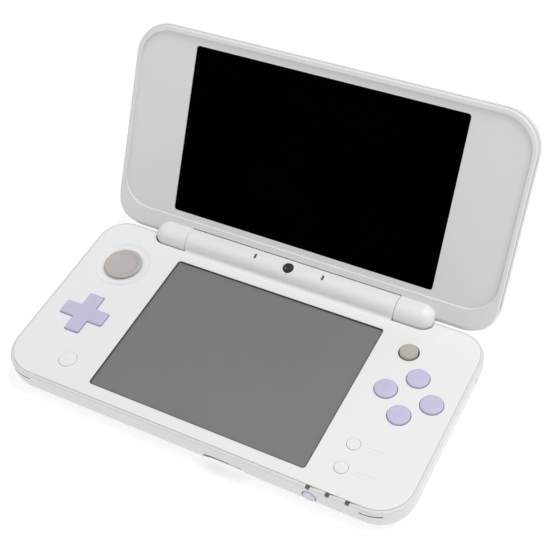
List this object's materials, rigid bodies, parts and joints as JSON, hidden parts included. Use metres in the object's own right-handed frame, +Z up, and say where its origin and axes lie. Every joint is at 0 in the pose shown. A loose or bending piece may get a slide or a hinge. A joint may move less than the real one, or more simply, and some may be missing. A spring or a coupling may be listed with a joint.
{
  "type": "handheld lcd game",
  "caption": "Clamshell handheld electronic game with a hinged upper screen, a lower touch screen, slide pad, cross key, face keys and a pull-out stylus.",
  "frame": {"origin": "on the flat underside of the base, below the centre of the lower screen", "axes": "+X to the user's right along the hinge, +Y away from the user, +Z up"},
  "size_m": [0.1604, 0.1273, 0.0807],
  "materials": {
    "shell_white": "satin moulded white",
    "wall_white": "satin moulded warm white",
    "panel_white": "fine matt white",
    "lavender": "satin lavender",
    "pad_grey": "soft matt grey",
    "upper_glass": "gloss black",
    "touch_grey": "satin grey, screen off",
    "lcd": "display module",
    "lens_black": "gloss black",
    "inner_black": "matt black",
    "bracket": "brushed",
    "steel": "bright",
    "board": "solder mask green",
    "battery": "wrapped cell",
    "membrane": "silicone rubber",
    "cable": "amber film"
  },
  "bodies": {
    "base": {"face_plate": "shell_white", "base_frame": "wall_white", "bottom_cover": "wall_white", "touch_window": "touch_grey", "lower_lcd": "lcd", "main_board": "board", "battery": "battery", "left_speaker": "inner_black", "right_speaker": "inner_black", "card_slot": "steel", "memory_card_slot": "steel", "audio_jack": "inner_black", "charging_port": "steel", "inner_camera": "inner_black", "inner_camera_window": "lens_black", "camera_light": "lens_black", "microphone": "inner_black", "hinge_clutch": "steel", "hinge_bearing": "inner_black", "display_cable": "cable", "status_light_guide": "lens_black", "cover_screw_left": "steel", "cover_screw_right": "steel", "outer_camera_window": "lens_black", "slide_pad_housing": "inner_black", "left_key_membrane": "membrane", "right_key_membrane": "membrane", "nub_sensor": "inner_black"},
    "lid": {"lid_front_frame": "panel_white", "lid_back_cover": "shell_white", "upper_window": "upper_glass", "upper_lcd": "lcd", "lcd_bracket": "bracket", "lid_magnet": "steel", "hinge_shaft": "steel", "hinge_sleeve": "steel"},
    "slide_pad_carriage": {"slide_pad_carriage": "inner_black"},
    "slide_pad": {"slide_pad": "pad_grey"},
    "cross_key_pivot": {"cross_key_pivot": "steel"},
    "cross_key": {"cross_key": "lavender"},
    "nub_gimbal": {"nub_gimbal": "steel"},
    "nub_stick": {"nub_stick": "pad_grey"},
    "face_button_north": {"face_button_north": "lavender"},
    "face_button_east": {"face_button_east": "lavender"},
    "face_button_south": {"face_button_south": "lavender"},
    "face_button_west": {"face_button_west": "lavender"},
    "start_button": {"start_button": "shell_white"},
    "select_button": {"select_button": "shell_white"},
    "home_button": {"home_button": "shell_white"},
    "power_button": {"power_button": "lavender"},
    "left_shoulder_button": {"left_shoulder_button": "wall_white"},
    "right_shoulder_button": {"right_shoulder_button": "wall_white"},
    "left_inner_shoulder_button": {"left_inner_shoulder_button": "wall_white"},
    "right_inner_shoulder_button": {"right_inner_shoulder_button": "wall_white"},
    "card_door": {"card_door": "wall_white"},
    "stylus": {"stylus": "wall_white"},
    "volume_slider": {"volume_slider": "wall_white"}
  },
  "joints": [
    {"name": "lid_hinge", "type": "hinge", "parent": "base", "child": "lid", "pos_m": [0, 0.0428, 0.0118], "axis": [1, 0, 0], "range_deg": [-35, 120.3]},
    {"name": "slide_pad_left_right", "type": "slide", "parent": "base", "child": "slide_pad_carriage", "axis": [1, 0, 0], "range_m": [-0.002, 0.002], "stiffness_N_per_m": 200},
    {"name": "slide_pad_up_down", "type": "slide", "parent": "slide_pad_carriage", "child": "slide_pad", "axis": [0, 1, 0], "range_m": [-0.002, 0.002], "stiffness_N_per_m": 200},
    {"name": "cross_key_up_down", "type": "hinge", "parent": "base", "child": "cross_key_pivot", "pos_m": [-0.0624, -0.0055, 0.0084], "axis": [1, 0, 0], "range_deg": [-2.5, 2.5], "stiffness_Nm_per_rad": 0.05},
    {"name": "cross_key_left_right", "type": "hinge", "parent": "cross_key_pivot", "child": "cross_key", "pos_m": [-0.0624, -0.0055, 0.0084], "axis": [0, 1, 0], "range_deg": [-2.5, 2.5], "stiffness_Nm_per_rad": 0.05},
    {"name": "nub_up_down", "type": "hinge", "parent": "base", "child": "nub_gimbal", "pos_m": [0.0551, 0.0261, 0.0084], "axis": [1, 0, 0], "range_deg": [-3, 3], "stiffness_Nm_per_rad": 0.1},
    {"name": "nub_left_right", "type": "hinge", "parent": "nub_gimbal", "child": "nub_stick", "pos_m": [0.0551, 0.0261, 0.0084], "axis": [0, 1, 0], "range_deg": [-3, 3], "stiffness_Nm_per_rad": 0.1},
    {"name": "face_button_north_press", "type": "slide", "parent": "base", "child": "face_button_north", "axis": [0, 0, -1], "range_m": [0, 0.0008], "stiffness_N_per_m": 800},
    {"name": "face_button_east_press", "type": "slide", "parent": "base", "child": "face_button_east", "axis": [0, 0, -1], "range_m": [0, 0.0008], "stiffness_N_per_m": 800},
    {"name": "face_button_south_press", "type": "slide", "parent": "base", "child": "face_button_south", "axis": [0, 0, -1], "range_m": [0, 0.0008], "stiffness_N_per_m": 800},
    {"name": "face_button_west_press", "type": "slide", "parent": "base", "child": "face_button_west", "axis": [0, 0, -1], "range_m": [0, 0.0008], "stiffness_N_per_m": 800},
    {"name": "start_button_press", "type": "slide", "parent": "base", "child": "start_button", "axis": [0, 0, -1], "range_m": [0, 0.0004], "stiffness_N_per_m": 1500},
    {"name": "select_button_press", "type": "slide", "parent": "base", "child": "select_button", "axis": [0, 0, -1], "range_m": [0, 0.0004], "stiffness_N_per_m": 1500},
    {"name": "home_button_press", "type": "slide", "parent": "base", "child": "home_button", "axis": [0, 0, -1], "range_m": [0, 0.0004], "stiffness_N_per_m": 1500},
    {"name": "power_button_press", "type": "slide", "parent": "base", "child": "power_button", "axis": [0, 1, 0], "range_m": [0, 0.0005], "stiffness_N_per_m": 1500},
    {"name": "left_shoulder_press", "type": "hinge", "parent": "base", "child": "left_shoulder_button", "pos_m": [-0.067, 0.0407, 0.0064], "axis": [0, 0, 1], "range_deg": [0, 2], "stiffness_Nm_per_rad": 0.3},
    {"name": "left_inner_shoulder_press", "type": "hinge", "parent": "base", "child": "left_inner_shoulder_button", "pos_m": [-0.06, 0.0407, 0.0064], "axis": [0, 0, 1], "range_deg": [0, 4], "stiffness_Nm_per_rad": 0.1},
    {"name": "right_shoulder_press", "type": "hinge", "parent": "base", "child": "right_shoulder_button", "pos_m": [0.067, 0.0407, 0.0064], "axis": [0, 0, -1], "range_deg": [0, 2], "stiffness_Nm_per_rad": 0.3},
    {"name": "right_inner_shoulder_press", "type": "hinge", "parent": "base", "child": "right_inner_shoulder_button", "pos_m": [0.06, 0.0407, 0.0064], "axis": [0, 0, -1], "range_deg": [0, 4], "stiffness_Nm_per_rad": 0.1},
    {"name": "card_door_swing", "type": "hinge", "parent": "base", "child": "card_door", "pos_m": [-0.026, -0.03642, 0.0019], "axis": [1, 0, 0], "range_deg": [0, 90]},
    {"name": "stylus_pull", "type": "slide", "parent": "base", "child": "stylus", "axis": [0, -1, 0], "range_m": [0, 0.062]},
    {"name": "volume_slide", "type": "slide", "parent": "base", "child": "volume_slider", "axis": [0, 1, 0], "range_m": [-0.006, 0.006]}
  ]
}
